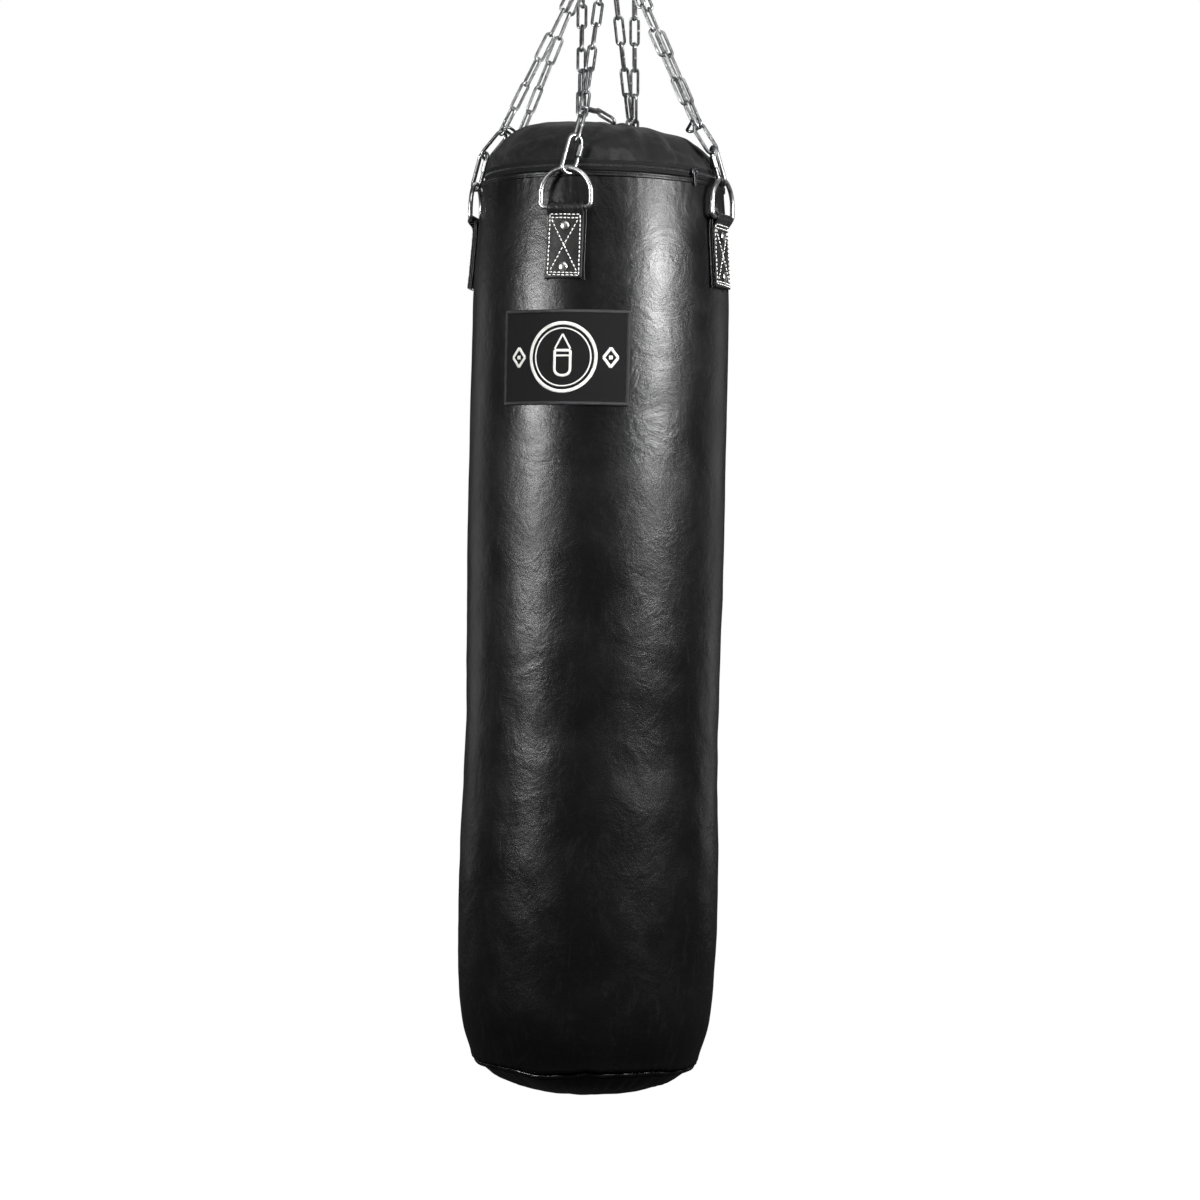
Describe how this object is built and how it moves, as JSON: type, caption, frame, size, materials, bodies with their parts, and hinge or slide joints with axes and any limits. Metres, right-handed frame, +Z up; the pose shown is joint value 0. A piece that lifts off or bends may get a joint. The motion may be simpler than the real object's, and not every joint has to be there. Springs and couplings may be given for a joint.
{
  "type": "hanging punching bag",
  "caption": "Long cylindrical leather punching bag with a puffed zipped lid, hung by strap tabs, rings and doubled chain legs from a swivel.",
  "frame": {"origin": "the hanging point, the inside top of the swivel's upper eye", "axes": "+Z up along the bag's axis, -Y towards the front leg and the label, +X to the right seen from the front"},
  "size_m": [0.3806, 0.3821, 1.789],
  "materials": {
    "leather": "semi-gloss grained black leather",
    "suede": "matt black nubuck",
    "webbing": "satin black strap with white stitching",
    "zip_cloth": "woven black tape with moulded teeth",
    "label_cloth": "woven charcoal patch with embroidery",
    "foam": "grey closed-cell foam",
    "filling": "packed textile shreds",
    "nickel": "polished nickel plate",
    "zinc": "bright zinc plate",
    "steel": "zinc-plated forged steel"
  },
  "bodies": {
    "swivel_body": {"swivel_housing": "steel", "swivel_thrust_washer": "steel", "swivel_retaining_collar": "steel"},
    "spindle": {"swivel_spindle": "steel"},
    "triangle_ring": {"delta_ring": "steel"},
    "bag": {"leather_shell": "leather", "bottom_panel": "leather", "bottom_piping": "leather", "top_rim_binding": "leather", "foam_liner": "foam", "textile_filling": "filling", "zip_tape": "zip_cloth", "lid_cover": "suede", "label_patch": "label_cloth", "front_tab_strap": "webbing", "front_tab_backing": "leather", "front_rivet_1": "nickel", "front_rivet_2": "nickel", "front_d_ring": "nickel", "front_quick_link": "zinc", "front_joining_link": "zinc", "front_leg_chain": "zinc", "front_s_hook": "zinc", "right_tab_strap": "webbing", "right_tab_backing": "leather", "right_rivet_1": "nickel", "right_rivet_2": "nickel", "right_d_ring": "nickel", "right_quick_link": "zinc", "right_joining_link": "zinc", "right_leg_chain": "zinc", "right_s_hook": "zinc", "rear_tab_strap": "webbing", "rear_tab_backing": "leather", "rear_rivet_1": "nickel", "rear_rivet_2": "nickel", "rear_d_ring": "nickel", "rear_quick_link": "zinc", "rear_joining_link": "zinc", "rear_leg_chain": "zinc", "rear_s_hook": "zinc", "left_tab_strap": "webbing", "left_tab_backing": "leather", "left_rivet_1": "nickel", "left_rivet_2": "nickel", "left_d_ring": "nickel", "left_quick_link": "zinc", "left_joining_link": "zinc", "left_leg_chain": "zinc", "left_s_hook": "zinc"},
    "front_sleeve": {"front_link_sleeve": "zinc"},
    "right_sleeve": {"right_link_sleeve": "zinc"},
    "rear_sleeve": {"rear_link_sleeve": "zinc"},
    "left_sleeve": {"left_link_sleeve": "zinc"},
    "slider": {"zip_slider": "nickel"},
    "pull": {"zip_pull": "nickel"}
  },
  "joints": [
    {"name": "swivel_spin", "type": "hinge", "parent": "swivel_body", "child": "spindle", "pos_m": [0, 0, -0.06], "axis": [0, 0, 1], "continuous": true},
    {"name": "ring_rock", "type": "hinge", "parent": "spindle", "child": "triangle_ring", "pos_m": [0, 0, -0.1066], "axis": [0, 1, 0], "range_deg": [-35, 35]},
    {"name": "bag_swing", "type": "hinge", "parent": "triangle_ring", "child": "bag", "pos_m": [0, 0, -0.16], "axis": [1, 0, 0], "range_deg": [-35, 35]},
    {"name": "front_sleeve_travel", "type": "slide", "parent": "bag", "child": "front_sleeve", "axis": [-0.1781, -0.2179, -0.9596], "range_m": [0, 0.011]},
    {"name": "right_sleeve_travel", "type": "slide", "parent": "bag", "child": "right_sleeve", "axis": [0.2757, 0.0834, -0.9576], "range_m": [0, 0.011]},
    {"name": "rear_sleeve_travel", "type": "slide", "parent": "bag", "child": "rear_sleeve", "axis": [0, 0.2415, -0.9704], "range_m": [0, 0.011]},
    {"name": "left_sleeve_travel", "type": "slide", "parent": "bag", "child": "left_sleeve", "axis": [-0.2402, -0.0253, -0.9704], "range_m": [0, 0.011]},
    {"name": "zip_run", "type": "hinge", "parent": "bag", "child": "slider", "pos_m": [0, 0, -0.505], "axis": [0, 0, 1], "range_deg": [-48, 0]},
    {"name": "pull_flap", "type": "hinge", "parent": "slider", "child": "pull", "pos_m": [0.15374, -0.07834, -0.5046], "axis": [-0.454, -0.891, 0], "range_deg": [0, 95]}
  ]
}
